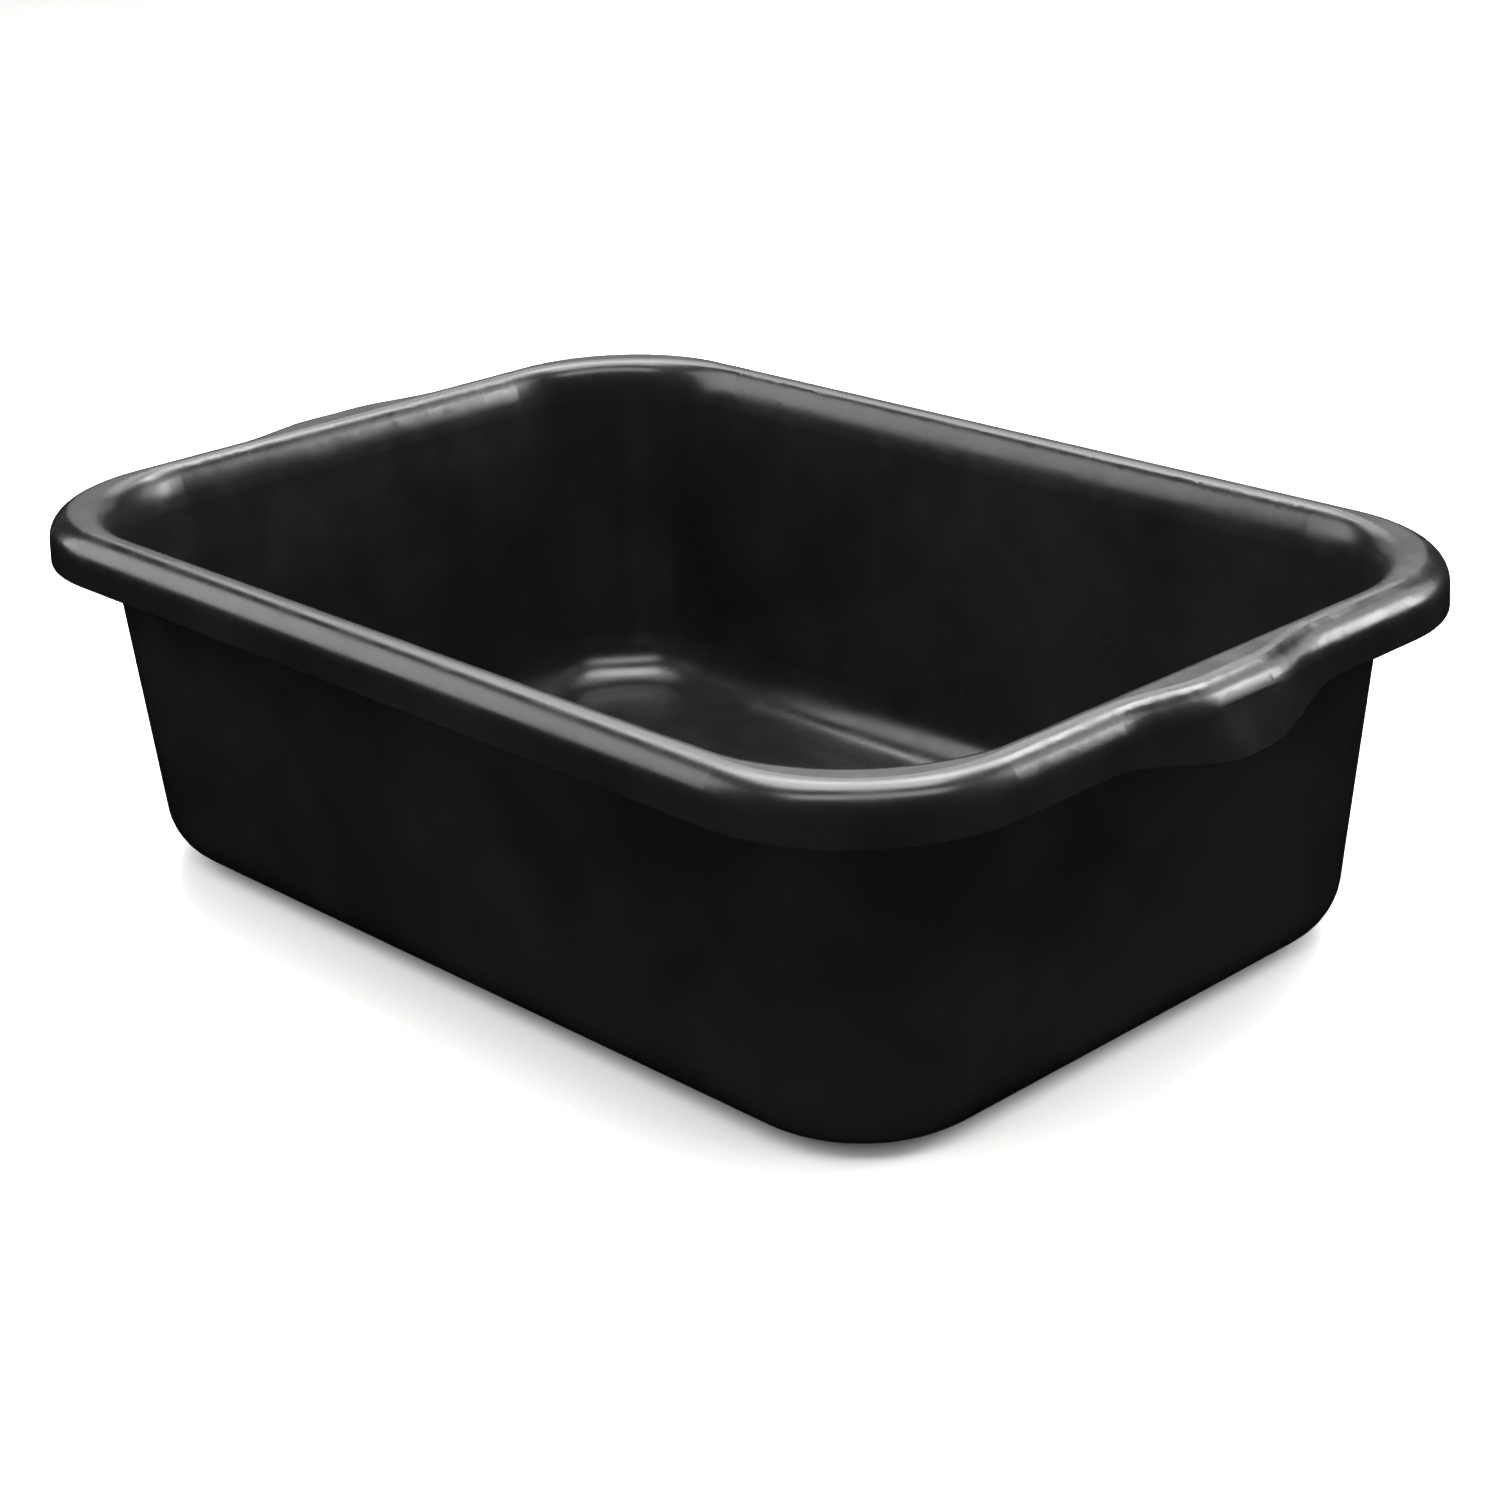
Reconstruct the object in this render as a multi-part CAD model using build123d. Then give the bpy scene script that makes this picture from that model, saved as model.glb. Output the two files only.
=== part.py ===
from build123d import *
import math
import os

# Mortar mixing tub: one injection moulding in black polyethylene. Millimetres, +Z up.
# The origin is the centre of the footprint, on the surface that the tub stands on.
# X runs along the tub, through the two end grips, and Y runs across it.

# Rim: the wall flares into a crown, which rolls over into a turned-down skirt.
HEIGHT = 180.0  # from the ground to the crown
RIM_LENGTH = 590.6  # over the skirt's lower edge, beside the grips
RIM_WIDTH = 421.0
RIM_CORNER = 84.0
RIM_THICKNESS = 3.0
ROLL = 13.0  # outer radius of the roll from crown to skirt
CROWN_FLAT = 0.5  # between the flare and the roll, along the sides
SKIRT_DEPTH = 23.5
SKIRT_LEAN = 1.4  # how far the skirt leans out on its way down
LIP_ROUND = 1.2  # both edges of the skirt's lower edge
FLARE_HEIGHT = 20.0  # the flare starts this far below the crown

# Body: a rounded box that widens upwards by the draft angle.
OVERHANG = 22.7  # from the skirt's face to the wall's, at the skirt's lower edge
BODY_CORNER = 79.0  # at the same level
DRAFT = 5.4  # degrees from vertical, so that the tub leaves its mould and nests
WALL = 3.0
FLOOR = 3.0
BOTTOM_ROUND = 30.0  # the outer edge between wall and floor

# End grips: the rim swells outwards in the middle of each short end, and its skirt hangs lower.
GRIP_REACH_LOW = 13.4  # swell at the skirt's lower edge
GRIP_FLAT_LOW = 8.0
GRIP_RAMP_LOW = 72.0
GRIP_REACH_TOP = 5.0  # swell at the crown, where it would be before the roll
GRIP_FLAT_TOP = 46.0
GRIP_RAMP_TOP = 34.0
GRIP_DROP = 9.0

# Injection gate: a dimple in the middle of the underside, with the stub of the trimmed sprue in it.
GATE_RADIUS = 9.0
GATE_DEPTH = 1.0
SPRUE_RADIUS = 2.2
SPRUE_HEIGHT = 0.6

# Levels and angles that follow from the sizes above.
SKIRT_LEVEL = HEIGHT - SKIRT_DEPTH
GRIP_LEVEL = SKIRT_LEVEL - GRIP_DROP
LEAN = math.radians(DRAFT)
WALL_INSET = WALL / math.cos(LEAN)  # the wall's thickness, measured level

# The handle length that makes a Bezier curve follow a quarter of an ellipse.
QUARTER_HANDLE = 0.5523
# How far a cutting tool runs past what it cuts.
OVERCUT = 3.0


def growth_at(level):
    """How far the wall's outer face stands out at a level, from where it is at the skirt's lower edge."""
    return (level - SKIRT_LEVEL) * math.tan(LEAN)


def body_outline(level, growth):
    """Plan of the body at a level, grown outwards from the wall's outer face at the skirt's lower edge."""
    plan = RectangleRounded(
        RIM_LENGTH - 2 * OVERHANG + 2 * growth, RIM_WIDTH - 2 * OVERHANG + 2 * growth, BODY_CORNER + growth
    )
    return Pos(0, 0, level) * plan


def drafted_body(bottom, top, inset, bottom_round):
    """The body between two levels, with its face moved inwards by inset and its bottom edge rounded."""
    body = extrude(body_outline(bottom, growth_at(bottom) - inset), amount=top - bottom, taper=-DRAFT)
    return fillet(body.faces().sort_by(Axis.Z)[0].edges(), bottom_round)


def flare(bottom, growth, top, end_growth):
    """Solid that rises from the body's outline at bottom and curves out to a level brim at top."""
    rise = top - bottom
    reach = end_growth - growth
    handle = rise * QUARTER_HANDLE
    path = body_outline(bottom, growth).wire()
    outwards = (path % 0).cross(Vector(0, 0, 1))
    curve = Bezier(
        (0, 0),
        (handle * math.sin(LEAN), handle * math.cos(LEAN)),
        (reach * (1 - QUARTER_HANDLE), rise),
        (reach, rise),
    )
    back = Polyline((reach, rise), (-OVERCUT, rise), (-OVERCUT, 0), (0, 0))
    section = Plane(path @ 0, x_dir=outwards, z_dir=-(path % 0)) * make_face([curve, back])
    core = extrude(body_outline(bottom, growth - OVERCUT / 2), amount=rise)
    return core + sweep(section, path=path)


def rim_outline(level, inset):
    """Plan of the rim's outer face at a level: a rounded rectangle that swells at each short end."""
    drop = (HEIGHT - level) / (HEIGHT - GRIP_LEVEL)
    reach = GRIP_REACH_TOP + (GRIP_REACH_LOW - GRIP_REACH_TOP) * drop
    flat = (GRIP_FLAT_TOP + (GRIP_FLAT_LOW - GRIP_FLAT_TOP) * drop) / 2
    ramp = GRIP_RAMP_TOP + (GRIP_RAMP_LOW - GRIP_RAMP_TOP) * drop
    inset += SKIRT_LEAN * (1 - drop)
    x = RIM_LENGTH / 2 - inset
    y = RIM_WIDTH / 2 - inset
    corner = RIM_CORNER - inset
    grip = Line((x + reach, 0), (x + reach, flat))
    swell = Bezier((x + reach, flat), (x + reach, flat + ramp / 3), (x, flat + ramp * 2 / 3), (x, flat + ramp))
    end = Line((x, flat + ramp), (x, y - corner))
    turn = RadiusArc((x, y - corner), (x - corner, y), -corner)
    side = Line((x - corner, y), (0, y))
    half = Curve() + [grip, swell, end, turn, side]
    half += mirror(half, about=Plane.YZ)
    return Pos(0, 0, level) * make_face(half + mirror(half, about=Plane.XZ))


def rim_block(top, inset, top_round):
    """Solid inside the rim's outer face, from below the skirt up to top, with its upper edge rounded."""
    block = loft([rim_outline(GRIP_LEVEL - OVERCUT, inset), rim_outline(top, inset)], ruled=True)
    return fillet(block.faces().sort_by(Axis.Z)[-1].edges(), top_round)


def skirt_trim():
    """Everything below the skirt's lower edge, which dips at the grips."""
    flat = GRIP_FLAT_LOW / 2
    foot = flat + GRIP_RAMP_LOW
    far = RIM_WIDTH / 2 + OVERCUT
    under = GRIP_LEVEL - 2 * OVERCUT
    third = GRIP_RAMP_LOW / 3
    dip = Bezier((flat, GRIP_LEVEL), (flat + third, GRIP_LEVEL), (foot - third, SKIRT_LEVEL), (foot, SKIRT_LEVEL))
    around = Polyline((foot, SKIRT_LEVEL), (far, SKIRT_LEVEL), (far, under), (0, under))
    half = Curve() + [Line((0, GRIP_LEVEL), (flat, GRIP_LEVEL)), dip, around]
    profile = Plane.YZ * make_face(half + mirror(half, about=Plane.YZ))
    return extrude(profile, amount=RIM_LENGTH / 2 + GRIP_REACH_LOW + OVERCUT, both=True)


def rim_cap():
    """Crown, roll and skirt as an upturned tray, still closed across the mouth."""
    channel = rim_block(HEIGHT - RIM_THICKNESS, RIM_THICKNESS, ROLL - RIM_THICKNESS)
    cap = rim_block(HEIGHT, 0, ROLL) - channel - skirt_trim()
    lip = [
        edge
        for edge in cap.edges()
        if edge.bounding_box().max.Z < SKIRT_LEVEL + LIP_ROUND and edge.length > 2 * RIM_THICKNESS
    ]
    return fillet(lip, LIP_ROUND)


def tub_shell():
    """The whole moulding."""
    roll_run = ROLL * math.tan((math.pi / 2 - math.atan(SKIRT_LEAN / (HEIGHT - GRIP_LEVEL))) / 2)
    brim = OVERHANG - SKIRT_LEAN - roll_run - CROWN_FLAT
    flare_level = HEIGHT - FLARE_HEIGHT
    outer_level = flare_level - WALL * math.sin(LEAN)

    outside = drafted_body(0, outer_level, 0, BOTTOM_ROUND)
    outside += flare(outer_level, growth_at(outer_level), HEIGHT - RIM_THICKNESS, brim)
    inside = drafted_body(FLOOR, flare_level, WALL_INSET, BOTTOM_ROUND - WALL)
    inside += flare(flare_level, growth_at(flare_level) - WALL_INSET, HEIGHT, brim)

    gate = extrude(Circle(GATE_RADIUS), amount=GATE_DEPTH)
    sprue = extrude(Pos(0, 0, GATE_DEPTH - SPRUE_HEIGHT) * Circle(SPRUE_RADIUS), amount=SPRUE_HEIGHT)
    return outside + rim_cap() - inside - (gate - sprue)


os.makedirs("parts", exist_ok=True)
export_step(tub_shell(), "parts/tub_shell.step")
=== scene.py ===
"""Looks and light for the mortar mixing tub: one black polyethylene moulding on a pale studio floor.

The tub is a single injection moulding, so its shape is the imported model's own node, which stays as it is
and gets its finish here. Lengths are in metres unless a name says otherwise; +Z is up and X runs through
the end grips.
"""

import logging
import math
from dataclasses import dataclass, field
from enum import Enum

import bmesh
import bpy
from mathutils import Matrix, Vector

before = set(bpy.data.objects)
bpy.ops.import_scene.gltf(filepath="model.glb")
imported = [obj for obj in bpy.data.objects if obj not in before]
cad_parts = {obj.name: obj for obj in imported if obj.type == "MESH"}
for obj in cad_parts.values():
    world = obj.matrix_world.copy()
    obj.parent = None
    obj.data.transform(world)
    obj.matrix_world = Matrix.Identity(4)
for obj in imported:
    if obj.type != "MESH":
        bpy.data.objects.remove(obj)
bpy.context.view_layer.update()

LOG = logging.getLogger("tub_scene")
MM = 0.001
WATTS_PER_RADIANCE = 4.0

Socket = bpy.types.NodeSocket
Tree = bpy.types.NodeTree
Span = tuple[float, float]


def linear(colour: str) -> tuple[float, float, float, float]:
    """Turn an sRGB hex colour into the linear RGBA that the shaders take.

    Args:
        colour: Hex colour such as "#1b1b1c".

    Returns:
        Red, green, blue and an alpha of one, all linear.
    """
    channels = [int(colour[i : i + 2], 16) / 255 for i in (1, 3, 5)]
    low = 0.04045
    return (*[c / 12.92 if c <= low else ((c + 0.055) / 1.055) ** 2.4 for c in channels], 1.0)


def fill(tree: Tree, socket: Socket, value: object) -> None:
    """Link an output socket to an input, or set the input's own value.

    Args:
        tree: Node tree that holds the input.
        socket: Input to fill.
        value: Output socket to link, or a value to set.
    """
    if isinstance(value, Socket):
        tree.links.new(value, socket)
    else:
        socket.default_value = value


def add_node(tree: Tree, kind: str, settings: dict | None = None, **links: object) -> bpy.types.Node:
    """Add a shader node, set its properties, and fill its inputs.

    Args:
        tree: Node tree that the node joins.
        kind: Blender's name for the node type.
        settings: Node properties, by name.
        links: Inputs by name with spaces as underscores: an output socket to link, or a value to set.

    Returns:
        The new node.
    """
    node = tree.nodes.new(kind)
    for name, value in (settings or {}).items():
        setattr(node, name, value)
    for name, value in links.items():
        fill(tree, node.inputs[name.replace("_", " ")], value)
    return node


class Grain(Enum):
    """Sizes of the moulding's surface marks, as bump layers: width of one mark and its depth, in mm."""

    SINK = (60.0, 0.10)
    PEEL = (5.0, 0.004)
    SPARK = (0.7, 0.0007)


class Combine(Enum):
    """Ways to join two masks, by Blender's name for the operation."""

    BOTH = "MULTIPLY"
    EITHER = "MAXIMUM"


class Mixed(Enum):
    """Kinds of value that a Mix node blends, with the ending of its socket identifiers."""

    COLOUR = ("RGBA", "Color")
    NUMBER = ("FLOAT", "Float")


@dataclass(frozen=True)
class MouldedPolyethylene:
    """High-density polyethylene, injection moulded in black against a bead-blasted steel tool.

    The skin is satin: broad soft highlights on the roll, slow sink waves in the walls, an orange peel a few
    millimetres wide and a fine spark grain. The carbon black is not quite evenly spread, the crown and the
    foot are rubbed a little paler and duller, and the basin floor carries hairline scuffs. Widths, lengths
    and heights are in mm; a pair is the start and end of a smooth step.
    """

    name: str = "moulded_polyethylene"
    pigment: str = "#101011"
    streak: str = "#161617"
    rubbed: str = "#262627"
    roughness: Span = (0.22, 0.29)
    rubbed_roughness: float = 0.38
    ior: float = 1.52
    blotch_width: float = 80.0
    blotch_step: Span = (0.35, 0.65)
    sheen_detail: float = 3.0
    sheen_step: Span = (0.3, 0.7)
    rub_width: float = 22.0
    rub_detail: float = 4.0
    rub_step: Span = (0.45, 0.75)
    wear: Span = (0.0, 0.4)
    crown_height: Span = (177.5, 180.0)
    foot_height: Span = (3.5, 0.0)
    scuff_width: float = 0.5
    scuff_length: float = 45.0
    scuff_turn: float = 24.0
    scuff_step: Span = (0.66, 0.74)
    scuff_patch: float = 70.0
    scuff_height: Span = (12.0, 5.0)

    def noise(self, tree: Tree, place: Socket, width: float, detail: float = 2.0) -> Socket:
        """Add a noise pattern whose marks are about width millimetres across.

        Args:
            tree: Node tree of the material.
            place: Object coordinates in metres.
            width: Size of one mark in mm.
            detail: Octaves of finer detail.

        Returns:
            The pattern's factor, 0 to 1.
        """
        node = add_node(tree, "ShaderNodeTexNoise", Vector=place, Scale=1 / (width * MM), Detail=detail)
        return node.outputs["Fac"]

    def band(self, tree: Tree, value: Socket, ends: Span, limits: Span = (0.0, 1.0)) -> Socket:
        """Map a value from its ends to limits with a smooth step.

        Args:
            tree: Node tree of the material.
            value: Socket to map.
            ends: Values that give the first and the second limit, in either order.
            limits: Results at the two ends.

        Returns:
            The mapped value.
        """
        (low, at_low), (high, at_high) = sorted(zip(ends, limits))
        node = add_node(
            tree,
            "ShaderNodeMapRange",
            {"interpolation_type": "SMOOTHSTEP"},
            Value=value,
            From_Min=low,
            From_Max=high,
            To_Min=at_low,
            To_Max=at_high,
        )
        return node.outputs["Result"]

    def level(self, tree: Tree, place: Socket, heights: Span) -> Socket:
        """Mask a range of heights above the ground.

        Args:
            tree: Node tree of the material.
            place: Object coordinates in metres.
            heights: Heights in mm where the mask is 0 and 1.

        Returns:
            The mask, 0 to 1.
        """
        height = add_node(tree, "ShaderNodeSeparateXYZ", Vector=place).outputs["Z"]
        none, full = heights
        return self.band(tree, height, (none * MM, full * MM))

    def join(self, tree: Tree, how: Combine, first: Socket, second: Socket) -> Socket:
        """Join two masks into one.

        Args:
            tree: Node tree of the material.
            how: Whether a place needs both masks, or either.
            first: One mask.
            second: The other mask.

        Returns:
            The joined mask.
        """
        node = add_node(tree, "ShaderNodeMath", {"operation": how.value})
        for socket, mask in zip(node.inputs, (first, second)):
            fill(tree, socket, mask)
        return node.outputs["Value"]

    def mix(self, tree: Tree, kind: Mixed, mask: Socket, first: object, second: object) -> Socket:
        """Blend from a first value to a second by a mask.

        Args:
            tree: Node tree of the material.
            kind: Whether the values are colours or numbers.
            mask: Share of the second value, 0 to 1.
            first: Value or socket where the mask is 0.
            second: Value or socket where the mask is 1.

        Returns:
            The blended value.
        """
        data_type, ending = kind.value
        node = add_node(tree, "ShaderNodeMix", {"data_type": data_type}, Factor=mask)
        inputs = {socket.identifier: socket for socket in node.inputs}
        outputs = {socket.identifier: socket for socket in node.outputs}
        fill(tree, inputs[f"A_{ending}"], first)
        fill(tree, inputs[f"B_{ending}"], second)
        return outputs[f"Result_{ending}"]

    def rub(self, tree: Tree, place: Socket) -> Socket:
        """Mask the places that hands, stacked tubs and the ground rub: the crown and foot, in patches.

        Args:
            tree: Node tree of the material.
            place: Object coordinates in metres.

        Returns:
            The mask, 0 to 1.
        """
        crown = self.level(tree, place, self.crown_height)
        foot = self.level(tree, place, self.foot_height)
        pattern = self.noise(tree, place, self.rub_width, self.rub_detail)
        patches = self.band(tree, pattern, self.rub_step, self.wear)
        return self.join(tree, Combine.BOTH, self.join(tree, Combine.EITHER, crown, foot), patches)

    def scuffs(self, tree: Tree, place: Socket) -> Socket:
        """Mask the hairline scuffs that shovels and hoes leave across the basin floor.

        Args:
            tree: Node tree of the material.
            place: Object coordinates in metres.

        Returns:
            The mask, 0 to 1.
        """
        across = 1 / (self.scuff_width * MM)
        along = 1 / (self.scuff_length * MM)
        turn = (0, 0, math.radians(self.scuff_turn))
        stretch = (along, across, along)
        turned = add_node(tree, "ShaderNodeMapping", Vector=place, Rotation=turn, Scale=stretch)
        lines = add_node(tree, "ShaderNodeTexNoise", Vector=turned.outputs["Vector"], Scale=1.0, Detail=1.0)
        thin = self.band(tree, lines.outputs["Fac"], self.scuff_step, self.wear)
        floor = self.level(tree, place, self.scuff_height)
        patches = self.join(tree, Combine.BOTH, floor, self.noise(tree, place, self.scuff_patch))
        return self.join(tree, Combine.BOTH, thin, patches)

    def grain(self, tree: Tree, place: Socket) -> Socket:
        """Stack the bump layers, the broadest first.

        Args:
            tree: Node tree of the material.
            place: Object coordinates in metres.

        Returns:
            The bumped normal.
        """
        links = {}
        for layer in Grain:
            width, depth = layer.value
            height = self.noise(tree, place, width)
            bump = add_node(tree, "ShaderNodeBump", Height=height, Distance=depth * MM, **links)
            links = {"Normal": bump.outputs["Normal"]}
        return links["Normal"]

    def material(self) -> bpy.types.Material:
        """Build the material.

        Returns:
            The new material.
        """
        material = bpy.data.materials.new(self.name)
        material.use_nodes = True
        tree = material.node_tree
        place = add_node(tree, "ShaderNodeTexCoord").outputs["Object"]
        worn = self.join(tree, Combine.EITHER, self.rub(tree, place), self.scuffs(tree, place))
        blotch = self.band(tree, self.noise(tree, place, self.blotch_width), self.blotch_step)
        clean = self.mix(tree, Mixed.COLOUR, blotch, linear(self.pigment), linear(self.streak))
        pattern = self.noise(tree, place, self.rub_width, self.sheen_detail)
        sheen = self.band(tree, pattern, self.sheen_step, self.roughness)
        looks = {
            "Base Color": self.mix(tree, Mixed.COLOUR, worn, clean, linear(self.rubbed)),
            "Roughness": self.mix(tree, Mixed.NUMBER, worn, sheen, self.rubbed_roughness),
            "IOR": self.ior,
            "Normal": self.grain(tree, place),
        }
        for name, value in looks.items():
            fill(tree, tree.nodes["Principled BSDF"].inputs[name], value)
        return material


@dataclass
class TubShell:
    """The whole moulding: basin, rolled rim, skirt and end grips in one shell."""

    node: str = "tub_shell"
    finish: MouldedPolyethylene = field(default_factory=MouldedPolyethylene)

    def dress(self) -> bpy.types.Object:
        """Give the moulding its finish.

        Returns:
            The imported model's own object.
        """
        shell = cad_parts[self.node]
        material = self.finish.material()
        for place in shell.material_slots:
            place.material = material
        return shell


@dataclass
class StudioFloor:
    """Wide matt floor that the tub stands on, which the tub neither mirrors nor takes light from."""

    name: str = "studio_floor"
    span: float = 30.0
    paper: str = "#f4f4f2"

    def build(self) -> bpy.types.Object:
        """Model the floor as one square.

        Returns:
            The floor's object.
        """
        mesh = bpy.data.meshes.new(self.name)
        grid = bmesh.new()
        bmesh.ops.create_grid(grid, x_segments=1, y_segments=1, size=self.span / 2)
        grid.to_mesh(mesh)
        grid.free()
        floor = bpy.data.objects.new(self.name, mesh)
        bpy.context.scene.collection.objects.link(floor)
        material = bpy.data.materials.new("matt_paper")
        material.use_nodes = True
        material.node_tree.nodes["Principled BSDF"].inputs["Base Color"].default_value = linear(self.paper)
        mesh.materials.append(material)
        floor.visible_glossy = False
        floor.visible_diffuse = False
        return floor


@dataclass
class StudioCamera:
    """Camera that looks down on the near corner, between the front side and the right grip.

    Angles are in degrees and the lens in mm. The aim shifts the view across and up from the tub's middle.
    """

    azimuth: float = 46.6
    elevation: float = 22.1
    roll: float = -2.1
    distance: float = 1.400
    lens: float = 71.4
    aim: tuple[float, float] = (-0.0122, 0.0214)
    height: float = 0.09

    def build(self) -> bpy.types.Object:
        """Place the camera and make it the scene's own.

        Returns:
            The camera's object.
        """
        turn, tilt, roll = (math.radians(a) for a in (self.azimuth, self.elevation, self.roll))
        back = Vector((math.sin(turn) * math.cos(tilt), -math.cos(turn) * math.cos(tilt), math.sin(tilt)))
        level = Vector((math.cos(turn), math.sin(turn), 0))
        rise = back.cross(level)
        right = math.cos(roll) * level + math.sin(roll) * rise
        up = -math.sin(roll) * level + math.cos(roll) * rise
        place = Vector((0, 0, self.height)) - right * self.aim[0] - up * self.aim[1] + back * self.distance
        data = bpy.data.cameras.new("studio_camera")
        data.lens = self.lens
        camera = bpy.data.objects.new("studio_camera", data)
        bpy.context.scene.collection.objects.link(camera)
        camera.matrix_world = Matrix.Translation(place) @ Matrix((right, up, back)).transposed().to_4x4()
        bpy.context.scene.camera = camera
        return camera


@dataclass(frozen=True)
class Softbox:
    """One rectangular soft light, placed as seen from the tub.

    The azimuth is counted from straight behind the tub, positive to the camera's right, in degrees.
    """

    name: str
    azimuth: float
    elevation: float
    width: float
    height: float
    radiance: float
    distance: float = 2.2
    centre: float = 0.1

    def build(self, front: float) -> bpy.types.Object:
        """Hang the light and turn it to the tub.

        Args:
            front: Camera's azimuth about the tub, in degrees.

        Returns:
            The light's object.
        """
        data = bpy.data.lights.new(self.name, "AREA")
        data.shape = "RECTANGLE"
        data.size = self.width
        data.size_y = self.height
        data.energy = self.radiance * self.width * self.height * WATTS_PER_RADIANCE
        lamp = bpy.data.objects.new(self.name, data)
        bpy.context.scene.collection.objects.link(lamp)
        turn, tilt, lead = (math.radians(a) for a in (self.azimuth, self.elevation, front))
        behind = Vector((-math.sin(lead), math.cos(lead), 0))
        right = Vector((math.cos(lead), math.sin(lead), 0))
        across = behind * math.cos(turn) + right * math.sin(turn)
        outward = across * math.cos(tilt) + Vector((0, 0, math.sin(tilt)))
        level = Vector((0, 0, 1)).cross(outward).normalized()
        rise = outward.cross(level)
        place = outward * self.distance + Vector((0, 0, self.centre))
        lamp.matrix_world = Matrix.Translation(place) @ Matrix((level, rise, outward)).transposed().to_4x4()
        return lamp


@dataclass
class StudioLight:
    """Softboxes round the tub, with a white surround that shows in no reflection."""

    front: float = 46.6
    surround: float = 1.0
    boxes: tuple[Softbox, ...] = (
        Softbox("overhead", 0, 78, 1.9, 1.3, 8.0),
        Softbox("back_high", 10, 58, 2.4, 0.7, 6.0),
        Softbox("back_low", 0, 38, 2.2, 0.6, 3.0),
        Softbox("back_skirt", 0, 17, 2.2, 0.7, 0.5),
        Softbox("right_wall", 78, 28, 1.3, 1.4, 2.6),
        Softbox("right_strip", 84, 22, 0.35, 0.9, 11.0),
        Softbox("right_high", 50, 47, 0.7, 0.3, 9.0),
        Softbox("left_wall", -78, 28, 1.6, 1.4, 3.0),
        Softbox("front_high", 175, 62, 2.6, 0.5, 5.0),
    )

    def build(self) -> list[bpy.types.Object]:
        """Hang every softbox and set the surround.

        Returns:
            The lights' objects.
        """
        world = bpy.data.worlds.new("studio_surround")
        world.use_nodes = True
        background = world.node_tree.nodes["Background"]
        background.inputs["Color"].default_value = linear("#ffffff")
        background.inputs["Strength"].default_value = self.surround
        world.cycles_visibility.glossy = False
        bpy.context.scene.world = world
        bpy.context.scene.view_settings.view_transform = "Standard"
        return [box.build(self.front) for box in self.boxes]


def main() -> None:
    """Build the studio, dress the tub and report each piece."""
    camera = StudioCamera().build()
    LOG.info("placed %s", camera.name)
    floor = StudioFloor().build()
    LOG.info("laid %s", floor.name)
    shell = TubShell().dress()
    LOG.info("dressed %s", shell.name)
    for lamp in StudioLight().build():
        LOG.info("lit by %s", lamp.name)


if __name__ == "__main__":
    logging.basicConfig(level=logging.INFO)
    main()
